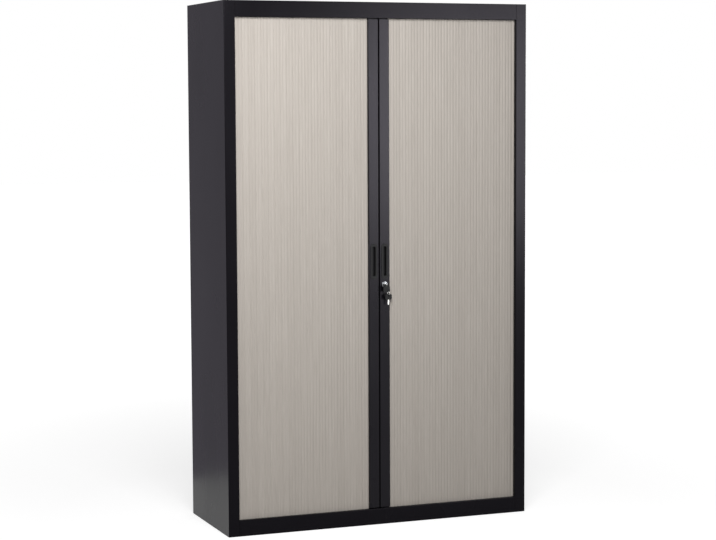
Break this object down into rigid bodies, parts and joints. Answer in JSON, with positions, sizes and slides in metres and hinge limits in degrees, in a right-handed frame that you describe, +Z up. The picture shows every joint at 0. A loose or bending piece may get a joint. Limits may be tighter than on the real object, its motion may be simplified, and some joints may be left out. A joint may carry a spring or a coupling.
{
  "type": "tambour door cabinet",
  "caption": "Tall steel cabinet whose two fluted tambour doors slide round the corners into side pockets, with adjustable shelves, cam lock with folding key and levelling feet.",
  "frame": {"origin": "on the floor, under the middle of the whole object's box (the cabinet and the keys that hang in front of it)", "axes": "+X to the right across the front, +Y from the doors to the back, +Z up"},
  "size_m": [1.2, 0.4766, 1.95],
  "materials": {
    "body_coat": "fine satin powder coat, anthracite",
    "shelf_coat": "fine satin powder coat, anthracite",
    "lead_coat": "satin dark grey coated profile",
    "tambour_slats": "matt taupe with a fine upright grain",
    "track_plastic": "smooth black sliding plastic",
    "black_plastic": "finely grained black moulding",
    "chromed_lock": "polished",
    "zinc_plate": "zinc plated",
    "nickel_key": "nickel plated"
  },
  "bodies": {
    "cabinet": {"left_side_panel": "body_coat", "right_side_panel": "body_coat", "top_panel": "body_coat", "base_panel": "body_coat", "ceiling_panel": "body_coat", "back_panel": "body_coat", "left_liner": "body_coat", "right_liner": "body_coat", "back_liner": "body_coat", "floor_panel": "shelf_coat", "left_bottom_track": "track_plastic", "left_top_track": "track_plastic", "right_bottom_track": "track_plastic", "right_top_track": "track_plastic", "shelf_1": "shelf_coat", "shelf_2": "shelf_coat", "shelf_3": "shelf_coat", "shelf_4": "shelf_coat", "shelf_clip_1_left_front": "zinc_plate", "shelf_clip_1_left_rear": "zinc_plate", "shelf_clip_1_right_front": "zinc_plate", "shelf_clip_1_right_rear": "zinc_plate", "shelf_clip_2_left_front": "zinc_plate", "shelf_clip_2_left_rear": "zinc_plate", "shelf_clip_2_right_front": "zinc_plate", "shelf_clip_2_right_rear": "zinc_plate", "shelf_clip_3_left_front": "zinc_plate", "shelf_clip_3_left_rear": "zinc_plate", "shelf_clip_3_right_front": "zinc_plate", "shelf_clip_3_right_rear": "zinc_plate", "shelf_clip_4_left_front": "zinc_plate", "shelf_clip_4_left_rear": "zinc_plate", "shelf_clip_4_right_front": "zinc_plate", "shelf_clip_4_right_rear": "zinc_plate"},
    "left_door": {"left_lead_slat": "lead_coat", "left_curtain": "tambour_slats", "left_handle": "black_plastic", "left_top_glide": "black_plastic", "left_bottom_glide": "black_plastic", "strike_plate": "zinc_plate"},
    "right_door": {"right_lead_slat": "lead_coat", "right_curtain": "tambour_slats", "right_handle": "black_plastic", "right_top_glide": "black_plastic", "right_bottom_glide": "black_plastic", "lock_housing": "chromed_lock"},
    "lock_core": {"lock_plug": "chromed_lock", "lock_hook": "zinc_plate"},
    "key": {"key_blade": "nickel_key"},
    "folding_head": {"key_head": "black_plastic"},
    "ring": {"key_ring": "nickel_key"},
    "spare": {"spare_key": "nickel_key"},
    "left_front_pad": {"foot_pad_left_front": "black_plastic"},
    "left_front_stud": {"foot_stud_left_front": "zinc_plate"},
    "left_rear_pad": {"foot_pad_left_rear": "black_plastic"},
    "left_rear_stud": {"foot_stud_left_rear": "zinc_plate"},
    "right_front_pad": {"foot_pad_right_front": "black_plastic"},
    "right_front_stud": {"foot_stud_right_front": "zinc_plate"},
    "right_rear_pad": {"foot_pad_right_rear": "black_plastic"},
    "right_rear_stud": {"foot_stud_right_rear": "zinc_plate"}
  },
  "joints": [
    {"name": "left_door_slide", "type": "slide", "parent": "cabinet", "child": "left_door", "axis": [-1, 0, 0], "range_m": [0, 0.5], "deforming": ["left_curtain"]},
    {"name": "right_door_slide", "type": "slide", "parent": "cabinet", "child": "right_door", "axis": [1, 0, 0], "range_m": [0, 0.5], "deforming": ["right_curtain"]},
    {"name": "lock_turn", "type": "hinge", "parent": "right_door", "child": "lock_core", "pos_m": [0.02175, -0.2117, 0.905], "axis": [0, 1, 0], "range_deg": [0, 90]},
    {"name": "key_pull", "type": "slide", "parent": "lock_core", "child": "key", "axis": [0, -1, 0], "range_m": [0, 0.012]},
    {"name": "key_head_fold", "type": "hinge", "parent": "key", "child": "folding_head", "pos_m": [0.02175, -0.2285, 0.905], "axis": [-1, 0, 0], "range_deg": [0, 180]},
    {"name": "key_ring_swing", "type": "hinge", "parent": "folding_head", "child": "ring", "pos_m": [0.02929, -0.2285, 0.88273], "axis": [0, 1, 0], "range_deg": [-60, 20]},
    {"name": "spare_key_swing", "type": "hinge", "parent": "ring", "child": "spare", "pos_m": [0.02929, -0.2285, 0.86473], "axis": [0, 1, 0], "range_deg": [-60, 40]},
    {"name": "left_front_foot_lift", "type": "slide", "parent": "cabinet", "child": "left_front_pad", "axis": [0, 0, -1], "range_m": [0, 0.012]},
    {"name": "left_front_stud_turn", "type": "hinge", "parent": "left_front_pad", "child": "left_front_stud", "pos_m": [-0.525, -0.1367, 0.036], "axis": [0, 0, 1], "range_deg": [-2880, 0]},
    {"name": "left_rear_foot_lift", "type": "slide", "parent": "cabinet", "child": "left_rear_pad", "axis": [0, 0, -1], "range_m": [0, 0.012]},
    {"name": "left_rear_stud_turn", "type": "hinge", "parent": "left_rear_pad", "child": "left_rear_stud", "pos_m": [-0.525, 0.1533, 0.036], "axis": [0, 0, 1], "range_deg": [-2880, 0]},
    {"name": "right_front_foot_lift", "type": "slide", "parent": "cabinet", "child": "right_front_pad", "axis": [0, 0, -1], "range_m": [0, 0.012]},
    {"name": "right_front_stud_turn", "type": "hinge", "parent": "right_front_pad", "child": "right_front_stud", "pos_m": [0.525, -0.1367, 0.036], "axis": [0, 0, 1], "range_deg": [-2880, 0]},
    {"name": "right_rear_foot_lift", "type": "slide", "parent": "cabinet", "child": "right_rear_pad", "axis": [0, 0, -1], "range_m": [0, 0.012]},
    {"name": "right_rear_stud_turn", "type": "hinge", "parent": "right_rear_pad", "child": "right_rear_stud", "pos_m": [0.525, 0.1533, 0.036], "axis": [0, 0, 1], "range_deg": [-2880, 0]}
  ],
  "couplings": [
    {"joint": "left_front_stud_turn", "follows": "left_front_foot_lift", "rad_per_m": -4188.8},
    {"joint": "left_rear_stud_turn", "follows": "left_rear_foot_lift", "rad_per_m": -4188.8},
    {"joint": "right_front_stud_turn", "follows": "right_front_foot_lift", "rad_per_m": -4188.8},
    {"joint": "right_rear_stud_turn", "follows": "right_rear_foot_lift", "rad_per_m": -4188.8}
  ]
}
